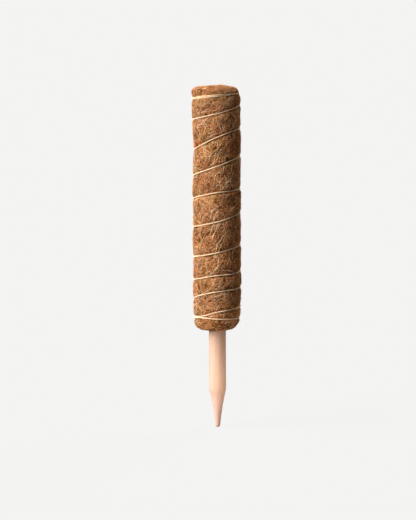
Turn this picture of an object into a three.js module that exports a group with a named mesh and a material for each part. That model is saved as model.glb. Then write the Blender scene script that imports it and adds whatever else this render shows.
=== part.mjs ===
// Moss pole: a coir sleeve on a hollow core, bound with twine, on a pointed wooden stake.
// Millimetres, +Z up. The origin is on the pole's axis at the soil line, where the stake
// leaves the underside of the sleeve. The open core at the top takes the stake of another pole.

import * as THREE from 'three';

// Coir sleeve
const SLEEVE_LENGTH = 286;
const SLEEVE_DIAMETER = 56;
const TOP_SHOULDER_HEIGHT = 10;
const FOOT_SHOULDER_HEIGHT = 15;
const END_FACE_WIDTH = 3;
const MOUTH_ROUND = 2.5;

// Stake
const STAKE_DIAMETER = 20;
const STAKE_REACH = 116;
const STAKE_SEAT = 100;
const POINT_LENGTH = 46;
const POINT_SHOULDER = 3;
const POINT_HOLLOW = 0.7;
const TIP_DIAMETER = 5;
const TIP_ROUND = 1.5;
const STAKE_CHAMFER = 1.5;

// Core tube
const CORE_WALL = 2;
const CORE_RECESS = 1.5;
const CORE_LEAD_IN = 0.8;

// Twine binding: a short tie round each end and one hand-wound spiral between them
const TWINE_DIAMETER = 1.4;
const TWINE_BITE = 1.3;
const STRAND_GAP = 0.5;
const FOOT_TIE_HEIGHT = 13;
const TOP_TIE_INSET = 12;
const FOOT_TIE_TURNS = 1.29;
const SPIRAL_TURNS = 8.85;
const TOP_TIE_TURNS = 1.25;
const KNOT_BEARING = THREE.MathUtils.degToRad(130);
// The spiral kicks up out of the foot tie, then climbs more gently
const KICK_HEIGHT = 5;
const KICK_TURNS = 0.12;
// How far the hand strays from an even pitch: half waves along the spiral, and millimetres
const WANDER = [
  { halfWaves: 1, height: -10 },
  { halfWaves: 2, height: -7.5 },
  { halfWaves: 5, height: 2 },
];
// How far the turns lean: down to the right low on the pole, up to the right at the top
const TURN_LEAN = 1.7;
const LEAN_HALF_WAVES = 1.5;

// Knots that tie off the twine
const KNOT_DIAMETER = 2.6;
const KNOT_LENGTH = 4.5;
const KNOT_ROUND = 0.8;
const TAIL_LENGTH = 4;
const KNOT_LIFT_TURNS = 0.17;

// Gap that touching pieces keep
const CLEARANCE = 0.3;

// Fineness of the facets
const ROUND_SEGMENTS = 40;
const ARC_STEPS = 5;
const SLEEVE_COLUMNS = 32;
const SLEEVE_ROW = 4.2;
const GROOVE_SLOPE = 5;
const TWINE_STEPS_PER_TURN = 24;
const TWINE_SIDES = 6;
const KNOT_SEGMENTS = 12;

// Sizes that follow from the ones above
const stakeRadius = STAKE_DIAMETER / 2;
const coreBore = stakeRadius + CLEARANCE;
const coreRadius = coreBore + CORE_WALL;
const sleeveBore = coreRadius + CLEARANCE;
const sleeveRadius = SLEEVE_DIAMETER / 2;
const shoulderWidth = sleeveRadius - sleeveBore - MOUTH_ROUND - END_FACE_WIDTH;
const twineRadius = TWINE_DIAMETER / 2;
const knotRadius = KNOT_DIAMETER / 2;
const tiePitch = TWINE_DIAMETER + STRAND_GAP;
const twineTurns = FOOT_TIE_TURNS + SPIRAL_TURNS + TOP_TIE_TURNS;
const tieRise = tiePitch * (FOOT_TIE_TURNS + TOP_TIE_TURNS);
const spiralRise = SLEEVE_LENGTH - TOP_TIE_INSET - FOOT_TIE_HEIGHT - tieRise;

// Materials
const beech = new THREE.MeshStandardMaterial({ color: '#e2bc9c', roughness: 0.62, metalness: 0 });
const paleWood = new THREE.MeshStandardMaterial({ color: '#c49c74', roughness: 0.75, metalness: 0 });
const coir = new THREE.MeshStandardMaterial({ color: '#93683f', roughness: 0.95, metalness: 0 });
const cottonTwine = new THREE.MeshStandardMaterial({ color: '#e8cda8', roughness: 0.85, metalness: 0 });

// A closed solid from rings of points: each ring joins the next, and both ends are closed or meet.
function skinRings(rings, { endsMeet }) {
  const ringSize = rings[0].length;
  const points = rings.flat();
  const triangles = [];
  const joints = endsMeet ? rings.length : rings.length - 1;
  for (let ring = 0; ring < joints; ring++) {
    const near = ring * ringSize;
    const far = ((ring + 1) % rings.length) * ringSize;
    for (let side = 0; side < ringSize; side++) {
      const next = (side + 1) % ringSize;
      triangles.push(near + side, near + next, far + next);
      triangles.push(near + side, far + next, far + side);
    }
  }
  if (!endsMeet) {
    const last = (rings.length - 1) * ringSize;
    for (let side = 1; side < ringSize - 1; side++) {
      triangles.push(0, side + 1, side);
      triangles.push(last, last + side, last + side + 1);
    }
  }
  const geometry = new THREE.BufferGeometry().setFromPoints(points);
  geometry.setIndex(triangles);
  geometry.computeVertexNormals();
  return geometry;
}

// A solid of revolution about Z from a path in the plane of radius and height.
function turned(path, segments) {
  const geometry = new THREE.LatheGeometry(path.getPoints(ARC_STEPS), segments);
  return geometry.rotateX(Math.PI / 2);
}

// A turned stake with a blunt, slightly hollow point, whose upper end is glued inside the core.
function stakeGeometry() {
  const tip = new THREE.Vector2(TIP_DIAMETER / 2, -STAKE_REACH);
  const shoulder = new THREE.Vector2(stakeRadius, POINT_LENGTH - STAKE_REACH);
  const slope = shoulder.clone().sub(tip).normalize();
  const coneFoot = tip.clone().addScaledVector(slope, TIP_ROUND);
  const coneTop = shoulder.clone().addScaledVector(slope, -POINT_SHOULDER);
  const inward = new THREE.Vector2(-slope.y, slope.x);
  const hollow = coneFoot.clone().lerp(coneTop, 0.5).addScaledVector(inward, 2 * POINT_HOLLOW);
  const outline = new THREE.Path();
  outline.moveTo(0, tip.y);
  outline.lineTo(tip.x - TIP_ROUND, tip.y);
  outline.quadraticCurveTo(tip.x, tip.y, coneFoot.x, coneFoot.y);
  outline.quadraticCurveTo(hollow.x, hollow.y, coneTop.x, coneTop.y);
  outline.quadraticCurveTo(shoulder.x, shoulder.y, shoulder.x, shoulder.y + POINT_SHOULDER);
  outline.lineTo(stakeRadius, STAKE_SEAT - STAKE_CHAMFER);
  outline.lineTo(stakeRadius - STAKE_CHAMFER, STAKE_SEAT);
  outline.lineTo(0, STAKE_SEAT);
  return turned(outline, ROUND_SEGMENTS);
}

// A thin tube, open at both ends, that stops just inside the rolled ends of the sleeve.
function coreGeometry() {
  const foot = CORE_RECESS;
  const top = SLEEVE_LENGTH - CORE_RECESS;
  const outline = new THREE.Path();
  outline.moveTo(coreBore, foot);
  outline.lineTo(coreRadius, foot);
  outline.lineTo(coreRadius, top);
  outline.lineTo(coreBore + CORE_LEAD_IN, top);
  outline.lineTo(coreBore, top - CORE_LEAD_IN);
  outline.lineTo(coreBore, foot);
  return turned(outline, ROUND_SEGMENTS);
}

// Height of the twine after a number of turns from the lower knot.
function twineHeight(turns) {
  const spiralled = THREE.MathUtils.clamp(turns - FOOT_TIE_TURNS, 0, SPIRAL_TURNS);
  const share = spiralled / SPIRAL_TURNS;
  const tied = tiePitch * (turns - spiralled);
  const kick = KICK_HEIGHT * (1 - share) * THREE.MathUtils.smoothstep(spiralled, 0, KICK_TURNS);
  const lean = TURN_LEAN * Math.sin(LEAN_HALF_WAVES * Math.PI * share);
  const wander = WANDER.reduce(
    (sum, wave) => sum + wave.height * Math.sin(wave.halfWaves * Math.PI * share),
    0,
  );
  const climb = tied + spiralRise * share + kick + wander;
  return FOOT_TIE_HEIGHT + climb - lean * Math.cos(twineBearing(turns));
}

function twineBearing(turns) {
  return KNOT_BEARING + 2 * Math.PI * turns;
}

// Radius of the sleeve before the twine draws it in: straight, with an elliptical shoulder at each end.
function sleeveSwell(height) {
  const intoFoot = (FOOT_SHOULDER_HEIGHT - height) / FOOT_SHOULDER_HEIGHT;
  const intoTop = (height - SLEEVE_LENGTH + TOP_SHOULDER_HEIGHT) / TOP_SHOULDER_HEIGHT;
  const into = THREE.MathUtils.clamp(Math.max(intoFoot, intoTop), 0, 1);
  return sleeveRadius - shoulderWidth * (1 - Math.sqrt(1 - into * into));
}

// How much of the bite reaches a point of the sleeve: all under a strand, none between strands.
function biteShare(bearing, height) {
  const firstPass = THREE.MathUtils.euclideanModulo((bearing - KNOT_BEARING) / (2 * Math.PI), 1);
  let nearest = Infinity;
  for (let turns = firstPass; turns <= twineTurns; turns++) {
    nearest = Math.min(nearest, Math.abs(height - twineHeight(turns)));
  }
  const bed = twineRadius + SLEEVE_ROW;
  return 1 - THREE.MathUtils.smoothstep(nearest, bed, bed + GROOVE_SLOPE);
}

// The sleeve's wall cut along one bearing: out over the foot, up the side, in over the top, down the bore.
function sleeveSection(bearing) {
  const section = [];
  const quarter = (step) => (step / ARC_STEPS) * (Math.PI / 2);
  for (let step = 0; step <= ARC_STEPS; step++) {
    const roll = MOUTH_ROUND * (1 - Math.cos(quarter(step)));
    section.push([sleeveBore + roll, MOUTH_ROUND * (1 - Math.sin(quarter(step)))]);
  }
  const heights = [];
  for (let step = 0; step <= ARC_STEPS; step++) {
    heights.push(FOOT_SHOULDER_HEIGHT * (1 - Math.cos(quarter(step))));
  }
  const straight = SLEEVE_LENGTH - FOOT_SHOULDER_HEIGHT - TOP_SHOULDER_HEIGHT;
  const rows = Math.ceil(straight / SLEEVE_ROW);
  for (let row = 1; row < rows; row++) {
    heights.push(FOOT_SHOULDER_HEIGHT + (straight * row) / rows);
  }
  for (let step = ARC_STEPS; step >= 0; step--) {
    heights.push(SLEEVE_LENGTH - TOP_SHOULDER_HEIGHT * (1 - Math.cos(quarter(step))));
  }
  for (const height of heights) {
    section.push([sleeveSwell(height) - TWINE_BITE * biteShare(bearing, height), height]);
  }
  for (let step = ARC_STEPS; step >= 0; step--) {
    const roll = MOUTH_ROUND * (1 - Math.cos(quarter(step)));
    section.push([sleeveBore + roll, SLEEVE_LENGTH - MOUTH_ROUND * (1 - Math.sin(quarter(step)))]);
  }
  return section;
}

// The coir sleeve, drawn in along the twine and swelling between its turns.
// The sections go round clockwise, so that the faces point outwards.
function sleeveGeometry() {
  const rings = [];
  for (let column = 0; column < SLEEVE_COLUMNS; column++) {
    const bearing = (-2 * Math.PI * column) / SLEEVE_COLUMNS;
    rings.push(sleeveSection(bearing).map(([radius, height]) => around(bearing, radius, height)));
  }
  return skinRings(rings, { endsMeet: true });
}

function around(bearing, radius, height) {
  return new THREE.Vector3(radius * Math.cos(bearing), radius * Math.sin(bearing), height);
}

// Extra radius that carries each end of the twine out to the middle of its knot,
// which lies against the strand beside it.
function knotLift(turns) {
  const fromEnd = Math.min(turns, twineTurns - turns);
  const lift = knotRadius + CLEARANCE;
  return lift * (1 - THREE.MathUtils.smoothstep(fromEnd, 0, KNOT_LIFT_TURNS));
}

// Middle of the twine after a number of turns. Its chords, not only its corners, clear the sleeve.
function twinePoint(turns) {
  const height = twineHeight(turns);
  const bed = sleeveSwell(height) - TWINE_BITE + CLEARANCE + twineRadius + knotLift(turns);
  return around(twineBearing(turns), bed / Math.cos(Math.PI / TWINE_STEPS_PER_TURN), height);
}

// The twine's route from knot to knot, with a straight end one diameter long at each knot.
function twineRoute() {
  const steps = Math.round(twineTurns * TWINE_STEPS_PER_TURN);
  const route = [];
  for (let step = 0; step <= steps; step++) {
    route.push(twinePoint((twineTurns * step) / steps));
  }
  const first = route[0].clone().sub(route[1]).setLength(TWINE_DIAMETER).add(route[0]);
  const last = route[steps].clone().sub(route[steps - 1]).setLength(TWINE_DIAMETER).add(route[steps]);
  return [first, ...route, last];
}

// Least distance between strands of the twine, edge to edge, over points half a turn or more apart.
function leastStrandGap(route) {
  const apart = TWINE_STEPS_PER_TURN / 2;
  let least = Infinity;
  for (let near = 0; near < route.length; near++) {
    for (let far = near + apart; far < route.length; far++) {
      least = Math.min(least, route[near].distanceTo(route[far]));
    }
  }
  return least - TWINE_DIAMETER;
}

// One unbroken tube along the route, its section square to the route and one corner facing outwards.
function twineGeometry(route) {
  const rings = route.map((point, index) => {
    const before = route[Math.max(index - 1, 0)];
    const after = route[Math.min(index + 1, route.length - 1)];
    const along = after.clone().sub(before).normalize();
    const outward = new THREE.Vector3(point.x, point.y, 0).normalize();
    const across = along.clone().cross(outward).normalize();
    outward.crossVectors(across, along);
    const ring = [];
    for (let side = 0; side < TWINE_SIDES; side++) {
      const angle = (2 * Math.PI * side) / TWINE_SIDES;
      const corner = point.clone();
      corner.addScaledVector(outward, twineRadius * Math.cos(angle));
      corner.addScaledVector(across, twineRadius * Math.sin(angle));
      ring.push(corner);
    }
    return ring;
  });
  return skinRings(rings, { endsMeet: false });
}

// A tight knot with its cut tail, along +Z from the face that meets the twine.
function knotGeometry() {
  const outline = new THREE.Path();
  outline.moveTo(0, 0);
  outline.lineTo(knotRadius - KNOT_ROUND, 0);
  outline.quadraticCurveTo(knotRadius, 0, knotRadius, KNOT_ROUND);
  outline.lineTo(knotRadius, KNOT_LENGTH - KNOT_ROUND);
  outline.quadraticCurveTo(knotRadius, KNOT_LENGTH, twineRadius, KNOT_LENGTH);
  outline.lineTo(twineRadius, KNOT_LENGTH + TAIL_LENGTH);
  outline.lineTo(0, KNOT_LENGTH + TAIL_LENGTH);
  return turned(outline, KNOT_SEGMENTS);
}

// A knot set against an end of the twine, pointing the way the twine runs out of that end.
function knotAt(name, end, inner) {
  const knot = new THREE.Mesh(knotGeometry(), cottonTwine);
  const away = end.clone().sub(inner).normalize();
  knot.name = name;
  knot.position.copy(end).addScaledVector(away, CLEARANCE);
  knot.quaternion.setFromUnitVectors(new THREE.Vector3(0, 0, 1), away);
  return knot;
}

function piece(name, geometry, material) {
  const mesh = new THREE.Mesh(geometry, material);
  mesh.name = name;
  return mesh;
}

const route = twineRoute();
console.log(`binding_twine: least gap to itself ${leastStrandGap(route).toFixed(2)} mm`);

const mossPole = new THREE.Group();
mossPole.add(piece('stake', stakeGeometry(), beech));
mossPole.add(piece('core_tube', coreGeometry(), paleWood));
mossPole.add(piece('coir_sleeve', sleeveGeometry(), coir));

const binding = new THREE.Group();
binding.add(piece('binding_twine', twineGeometry(route), cottonTwine));
binding.add(knotAt('lower_knot', route[0], route[1]));
binding.add(knotAt('upper_knot', route[route.length - 1], route[route.length - 2]));
mossPole.add(binding);

export default mossPole;
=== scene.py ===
"""Moss pole, dressed: matted coir, a spiral of twisted twine and a turned beech stake."""

import logging
import math
from dataclasses import dataclass
from enum import Enum

import bpy
import numpy as np
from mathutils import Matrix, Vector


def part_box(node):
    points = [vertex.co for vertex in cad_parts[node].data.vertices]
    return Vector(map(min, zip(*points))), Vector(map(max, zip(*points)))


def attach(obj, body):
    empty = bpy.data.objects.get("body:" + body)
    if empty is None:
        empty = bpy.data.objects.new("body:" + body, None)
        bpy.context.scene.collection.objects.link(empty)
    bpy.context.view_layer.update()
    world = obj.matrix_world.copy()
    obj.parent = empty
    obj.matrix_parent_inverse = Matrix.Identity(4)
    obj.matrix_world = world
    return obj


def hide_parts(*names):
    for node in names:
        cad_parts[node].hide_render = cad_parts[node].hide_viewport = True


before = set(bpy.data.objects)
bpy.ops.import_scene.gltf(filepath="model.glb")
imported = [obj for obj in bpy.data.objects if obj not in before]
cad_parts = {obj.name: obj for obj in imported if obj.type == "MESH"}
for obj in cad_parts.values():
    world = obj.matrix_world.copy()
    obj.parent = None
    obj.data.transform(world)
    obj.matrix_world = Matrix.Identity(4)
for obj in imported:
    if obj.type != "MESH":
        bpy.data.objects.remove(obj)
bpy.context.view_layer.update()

LOG = logging.getLogger("moss_pole")
BODY = "root"
MM = 0.001
FULL_TURN = 2 * math.pi
FRONT_DEGREES = -90.0
CLEARANCE = 0.3 * MM
CORE_RECESS = 1.6 * MM
FIBRE_LAP = 1.0 * MM
FIBRE_PRESS = 0.05 * MM
END_DIP = 0.45 * MM
END_THINNING = 0.6
STRAND_SIDES = 3
STRAND_FLATNESS = 0.35
CELL_MARGIN = 0.1
END_CELL = ((0.1, 0.1), (0.1, 0.9), (0.2, 0.5))
MERGE_GAP = 0.002 * MM

Span = tuple[float, float]
Place = tuple[float, float, float]
Colour = tuple[float, float, float]
Stops = tuple[tuple[float, Colour], ...]
Socket = bpy.types.NodeSocket


class Slot(Enum):
    """Names of the record's material slots; the script does not use them."""

    STAKE = "stake_wood"
    CORE = "core_wood"
    COIR = "coir"
    TWINE = "twine"


class Blend(Enum):
    """Ways to mix one colour into another."""

    MIX = "MIX"
    MULTIPLY = "MULTIPLY"


class LampKind(Enum):
    """Lamps of the studio."""

    SUN = "SUN"
    SPOT = "SPOT"


# Sums that many pieces use


def smooth_step(value: np.ndarray, low: float, high: float) -> np.ndarray:
    """Ease from 0 at low to 1 at high.

    Args:
        value: Numbers to ease.
        low: Where the ease starts.
        high: Where the ease ends.

    Returns:
        The eased shares, of the same shape as value.
    """
    share = np.clip((value - low) / (high - low), 0.0, 1.0)
    return share * share * (3.0 - 2.0 * share)


def right_share(bearing: np.ndarray) -> np.ndarray:
    """How far a bearing turns to the right: 1 at the right side, 0 at the front, the left and the back."""
    return np.clip(np.cos(bearing), 0.0, 1.0)


def left_share(bearing: np.ndarray) -> np.ndarray:
    """How far a bearing turns to the left: 1 at the left side, 0 at the front, the right and the back."""
    return np.clip(-np.cos(bearing), 0.0, 1.0)


def unit(vectors: np.ndarray) -> np.ndarray:
    """Vectors at a length of 1."""
    return vectors / np.linalg.norm(vectors, axis=-1, keepdims=True)


def lengths_along(line: np.ndarray) -> np.ndarray:
    """Length from the start of a line to each of its points."""
    gaps = np.linalg.norm(np.diff(line, axis=0), axis=1)
    return np.concatenate([[0.0], np.cumsum(gaps)])


def evenly_spaced(line: np.ndarray, spacing: float) -> np.ndarray:
    """Points along a line at even distances.

    Args:
        line: Rows of points.
        spacing: About how far apart the new points are.

    Returns:
        Rows of new points, from the line's start to its end.
    """
    along = lengths_along(line)
    even = np.linspace(0.0, along[-1], int(along[-1] / spacing))
    return np.stack([np.interp(even, along, column) for column in line.T], 1)


def near_ends(share: np.ndarray, start: float) -> np.ndarray:
    """How near each point of a fibre is to an end: 1 at both ends, 0 over the middle."""
    return smooth_step(np.abs(2 * share - 1), start, 1.0)


def rounded(start: np.ndarray, corner: np.ndarray, end: np.ndarray, steps: int) -> np.ndarray:
    """Curve from a start to an end that leans towards a corner.

    Args:
        start: First point.
        corner: Point where the straight lines through start and end meet.
        end: Point that the curve stops short of.
        steps: Number of points, with the end.

    Returns:
        Rows of points, without the end.
    """
    share = np.linspace(0.0, 1.0, steps)[:, None]
    first = start * (1 - share) + corner * share
    second = corner * (1 - share) + end * share
    return (first * (1 - share) + second * share)[:-1]


# Shapes shared by the pieces


@dataclass
class Winding:
    """Route of the twine: a tie round the foot, a spiral wound by hand and a tie round the top."""

    diameter: float = 1.4 * MM
    knot_bearing: float = math.radians(130)
    knot_height: float = 13 * MM
    # Heights in millimetres at each eighth of a turn, from the left side over the front to the right
    strands: tuple[tuple[float, ...], ...] = (
        (13.9, 15.3, 14.2, 13.4, 13.0),
        (15.4, 16.9, 22.3, 25.4, 27.4),
        (36.4, 41.6, 45.9, 48.0, 49.9),
        (58.3, 61.2, 64.8, 66.4, 69.5),
        (85.2, 87.4, 91.1, 96.1, 100.0),
        (119.8, 122.7, 126.7, 133.0, 138.0),
        (153.0, 156.7, 160.5, 162.8, 164.8),
        (179.6, 184.1, 190.6, 198.3, 203.3),
        (209.6, 215.0, 223.9, 231.4, 235.0),
        (244.6, 246.9, 251.0, 257.1, 262.0),
        (268.3, 269.5, 271.0, 273.6, 275.0),
        (269.7, 270.9, 272.5),
    )

    def __post_init__(self) -> None:
        """Work out the turns and heights of the crossings, and a slope at each that never overshoots."""
        to_left = (math.pi - self.knot_bearing) / FULL_TURN
        turns, heights = [0.0], [self.knot_height]
        for whole, strand in enumerate(self.strands):
            for eighth, height in enumerate(strand):
                turns.append(to_left + whole + eighth / 8)
                heights.append(height * MM)
        self.crossings = np.array(turns)
        self.heights = np.array(heights)
        steps = np.diff(self.crossings)
        rates = np.diff(self.heights) / steps
        near = 2 * steps[1:] + steps[:-1]
        far = steps[1:] + 2 * steps[:-1]
        steady = rates[:-1] * rates[1:] > 0
        before = np.where(steady, rates[:-1], 1)
        after = np.where(steady, rates[1:], 1)
        inner = np.where(steady, (near + far) / (near / before + far / after), 0.0)
        self.slopes = np.concatenate([rates[:1], inner, rates[-1:]])

    @property
    def turns(self) -> float:
        """Turns from the lower knot to the upper one."""
        return float(self.crossings[-1])

    def bearing(self, turns: np.ndarray) -> np.ndarray:
        """Bearing of the twine, in radians, after some turns from the lower knot."""
        return self.knot_bearing + FULL_TURN * turns

    def height(self, turns: np.ndarray) -> np.ndarray:
        """Height of the twine after some turns from the lower knot.

        Args:
            turns: Turns from the lower knot.

        Returns:
            Heights above the soil line, eased between the crossings.
        """
        last = len(self.crossings) - 2
        at = np.clip(np.searchsorted(self.crossings, turns) - 1, 0, last)
        step = self.crossings[at + 1] - self.crossings[at]
        share = (turns - self.crossings[at]) / step
        rise = self.heights[at + 1] - self.heights[at]
        eased = rise * share * share * (3 - 2 * share)
        out = self.slopes[at] * step * share * (1 - share) ** 2
        into = self.slopes[at + 1] * step * share * share * (1 - share)
        return self.heights[at] + eased + out - into

    def distance(self, bearing: np.ndarray, height: np.ndarray) -> np.ndarray:
        """Height between points of the sleeve and the nearest strand of twine.

        Args:
            bearing: Bearings of the points, in radians.
            height: Heights of the points.

        Returns:
            Distances along the pole, never negative.
        """
        first = np.mod((bearing - self.knot_bearing) / FULL_TURN, 1.0)
        nearest = np.full(np.shape(height), np.inf)
        for whole in range(math.ceil(self.turns)):
            turns = first + whole
            gap = np.abs(height - self.height(np.minimum(turns, self.turns)))
            nearest = np.where(turns <= self.turns, np.minimum(nearest, gap), nearest)
        return nearest


@dataclass(frozen=True)
class Lumps:
    """Gentle unevenness of the sleeve: a sum of waves round and along it, the same on every run."""

    seed: int = 5
    waves: int = 26
    height: float = 0.075 * MM
    most_round: int = 9
    shortest: float = 16 * MM
    longest: float = 90 * MM

    def at(self, bearing: np.ndarray, along: np.ndarray) -> np.ndarray:
        """Height of the lumps.

        Args:
            bearing: Bearings, in radians.
            along: Distances along the pole.

        Returns:
            Heights to add to the surface.
        """
        draw = np.random.default_rng(self.seed)
        total = np.zeros(np.broadcast(bearing, along).shape)
        for _ in range(self.waves):
            turns = draw.integers(-self.most_round, self.most_round + 1)
            length = draw.uniform(self.shortest, self.longest)
            phase = draw.uniform(0.0, FULL_TURN)
            total += self.height * np.sin(turns * bearing + FULL_TURN * along / length + phase)
        return total


@dataclass(frozen=True)
class SleeveForm:
    """Outer form of the coir: a straight roll with soft shoulders, drawn in under the twine."""

    length: float
    radius: float
    bore: float
    winding: Winding
    lumps: Lumps
    top_shoulder: float = 10 * MM
    foot_shoulder: float = 15 * MM
    end_face: float = 3 * MM
    mouth_round: float = 2.5 * MM
    bite: float = 1.3 * MM
    bite_bed: float = 0.7 * MM
    bite_slope: float = 3.6 * MM
    top_bite: float = 0.5 * MM
    top_bite_depths: Span = (26 * MM, 20 * MM)
    foot_draw: float = 1.7 * MM
    foot_draw_heights: Span = (6 * MM, 30 * MM)
    top_draw: float = 1.8 * MM
    top_draw_depths: Span = (17 * MM, 4 * MM)
    waist_draw: float = 1.0 * MM
    waist_place: float = 0.74
    waist_reach: float = 26 * MM
    brim: float = 0.6 * MM
    brim_depths: Span = (55 * MM, 25 * MM)
    crest: float = 0.3
    crest_round: float = 0.8 * MM
    left_droop: float = 2.7 * MM
    right_droop: float = 2.9 * MM
    right_droop_power: float = 2.0
    mouth_droop: float = 0.5
    mouth_droop_radii: Span = (12.5 * MM, 16.5 * MM)
    left_corner: float = 1.6 * MM
    foot_sag: float = 0.8 * MM
    foot_rise: float = 2.0 * MM
    foot_tilt: float = 2.0 * MM
    foot_rise_radii: Span = (12 * MM, 25 * MM)
    step: float = 0.8 * MM
    corner_points: int = 24
    side_points: int = 400

    @property
    def shoulder_width(self) -> float:
        """Width of the rounded shoulder, from the side of the sleeve to its flat end."""
        return self.radius - self.bore - self.mouth_round - self.end_face

    def near_top(self, height: np.ndarray, depths: Span) -> np.ndarray:
        """Ease from 0 at the first depth below the top to 1 at the second."""
        return smooth_step(height, self.length - depths[0], self.length - depths[1])

    def swell(self, height: np.ndarray) -> np.ndarray:
        """Radius of the sleeve before the twine draws it in.

        Args:
            height: Heights above the soil line.

        Returns:
            Distances from the axis.
        """
        into_foot = (self.foot_shoulder - height) / self.foot_shoulder
        into_top = (height - self.length + self.top_shoulder) / self.top_shoulder
        into = np.clip(np.maximum(into_foot, into_top), 0.0, 1.0)
        return self.radius - self.shoulder_width * (1.0 - np.sqrt(1.0 - into * into))

    def draw_in(self, bearing: np.ndarray, height: np.ndarray) -> np.ndarray:
        """How far the hand-made roll stays short of an even one, round its side.

        Args:
            bearing: Bearings, in radians.
            height: Heights above the soil line.

        Returns:
            Distances inwards: at the right of the foot and the top, and at the left above the middle. At
            the left of the top the roll stands out instead.
        """
        right, left = right_share(bearing), left_share(bearing)
        foot = self.foot_draw * right * (1.0 - smooth_step(height, *self.foot_draw_heights))
        top = self.top_draw * right * self.near_top(height, self.top_draw_depths)
        from_waist = (height - self.waist_place * self.length) / self.waist_reach
        waist = self.waist_draw * left * np.exp(-(from_waist**2))
        brim = self.brim * left * self.near_top(height, self.brim_depths)
        return foot + top + waist - brim

    def droop(self, bearing: np.ndarray, radius: np.ndarray) -> np.ndarray:
        """How far the upper end falls off to both sides of its crest, and less round the mouth.

        Args:
            bearing: Bearings, in radians.
            radius: Distances from the axis.

        Returns:
            Distances down. The crest is right of the middle.
        """
        lean = np.cos(bearing) - self.crest
        left = self.left_droop * np.clip(-lean / (1.0 + self.crest), 0.0, 1.0)
        right = self.right_droop * np.clip(lean / (1.0 - self.crest), 0.0, 1.0) ** self.right_droop_power
        fall = np.hypot(left + right, self.crest_round)
        off_mouth = smooth_step(radius, *self.mouth_droop_radii)
        return fall * (self.mouth_droop + (1.0 - self.mouth_droop) * off_mouth)

    def hollow_foot(self, bearing: np.ndarray, radius: np.ndarray) -> np.ndarray:
        """How far the underside rises, from its sag round the stake outwards, more at the right."""
        rise = self.foot_rise + self.foot_tilt * right_share(bearing)
        return rise * smooth_step(radius, *self.foot_rise_radii) - self.foot_sag

    def skin(self) -> np.ndarray:
        """Section of the skin, from the lower mouth over the side to the upper mouth.

        Returns:
            Rows of radius and height, evenly spaced.
        """
        turn = np.linspace(0.0, math.pi / 2, self.corner_points)
        mouth = np.stack([
            self.bore + self.mouth_round * (1 - np.cos(turn)),
            self.mouth_round * (1 - np.sin(turn)),
        ], 1)
        foot = self.foot_shoulder * (1 - np.cos(turn))
        side = np.linspace(self.foot_shoulder, self.length - self.top_shoulder, self.side_points)
        top = self.length - self.top_shoulder * (1 - np.cos(turn[::-1]))
        heights = np.concatenate([foot, side[1:-1], top])
        outer = np.stack([self.swell(heights), heights], 1)
        upper_mouth = mouth[::-1] * (1, -1) + (0, self.length)
        return evenly_spaced(np.concatenate([mouth, outer, upper_mouth]), self.step)

    def bite_depth(self, height: np.ndarray) -> np.ndarray:
        """How deep the twine draws the coir in at a height: less under the tie round the top."""
        return self.bite + (self.top_bite - self.bite) * self.near_top(height, self.top_bite_depths)

    def bite_share(self, bearing: np.ndarray, height: np.ndarray) -> np.ndarray:
        """Share of the twine's bite that reaches a point: 1 under a strand, 0 between strands."""
        gap = self.winding.distance(bearing, height)
        return 1.0 - smooth_step(gap, self.bite_bed, self.bite_bed + self.bite_slope)


@dataclass
class Skin:
    """The skin of the sleeve as a sheet: bearing round it, and length along its section."""

    form: SleeveForm

    def __post_init__(self) -> None:
        """Measure the section once: its points, its length and its outward normals."""
        self.line = self.form.skin()
        self.along = lengths_along(self.line)
        tangent = unit(np.gradient(self.line, axis=0))
        self.normal = np.stack([tangent[:, 1], -tangent[:, 0]], 1)

    @property
    def length(self) -> float:
        """Length of the section, from the lower mouth to the upper one."""
        return float(self.along[-1])

    def radius(self, along: np.ndarray) -> np.ndarray:
        """Radius of the skin at a length along its section."""
        return np.interp(along, self.along, self.line[:, 0])

    def place(
        self, bearing: np.ndarray, along: np.ndarray, lift: np.ndarray
    ) -> tuple[np.ndarray, np.ndarray]:
        """Points at a lift above the skin, pressed down where the twine crosses them.

        Args:
            bearing: Bearings, in radians.
            along: Lengths along the section.
            lift: Heights above the skin.

        Returns:
            The points and the skin's outward normals there.
        """
        radius = self.radius(along)
        height = np.interp(along, self.along, self.line[:, 1])
        normal_out = np.interp(along, self.along, self.normal[:, 0])
        normal_up = np.interp(along, self.along, self.normal[:, 1])
        upward, downward = np.clip(normal_up, 0.0, 1.0), np.clip(-normal_up, 0.0, 1.0)
        pressed = self.form.bite_share(bearing, height) * np.clip(normal_out, 0.0, 1.0)
        bite = self.form.bite_depth(height)
        room = FIBRE_PRESS + (1.0 - pressed) * bite
        lift = np.where(pressed > 0.0, np.minimum(lift, room), lift)
        lift = lift + self.form.lumps.at(bearing, height) - bite * pressed
        corner = 2.0 * normal_out * upward
        lift = lift + self.form.left_corner * corner * left_share(bearing)
        radius = radius + normal_out * (lift - self.form.draw_in(bearing, height))
        sag = upward * self.form.droop(bearing, radius)
        rise = downward * self.form.hollow_foot(bearing, radius)
        height = height + normal_up * lift - sag + rise
        cosine, sine = np.cos(bearing), np.sin(bearing)
        points = np.stack([radius * cosine, radius * sine, height], -1)
        normals = np.stack([normal_out * cosine, normal_out * sine, normal_up], -1)
        return points, normals


# Finishes


@dataclass(frozen=True)
class Noise:
    """A noise over an object: how fine and rough it is, and its scale along each axis."""

    scale: float
    detail: float
    roughness: float = 0.5
    distortion: float = 0.0
    axes: Place = (1.0, 1.0, 1.0)


@dataclass(frozen=True)
class Tint:
    """A colour to mix in: none of it at the first limit of a value, the most at the second."""

    colour: Colour
    limits: Span
    most: float
    blend: Blend = Blend.MIX


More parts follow.
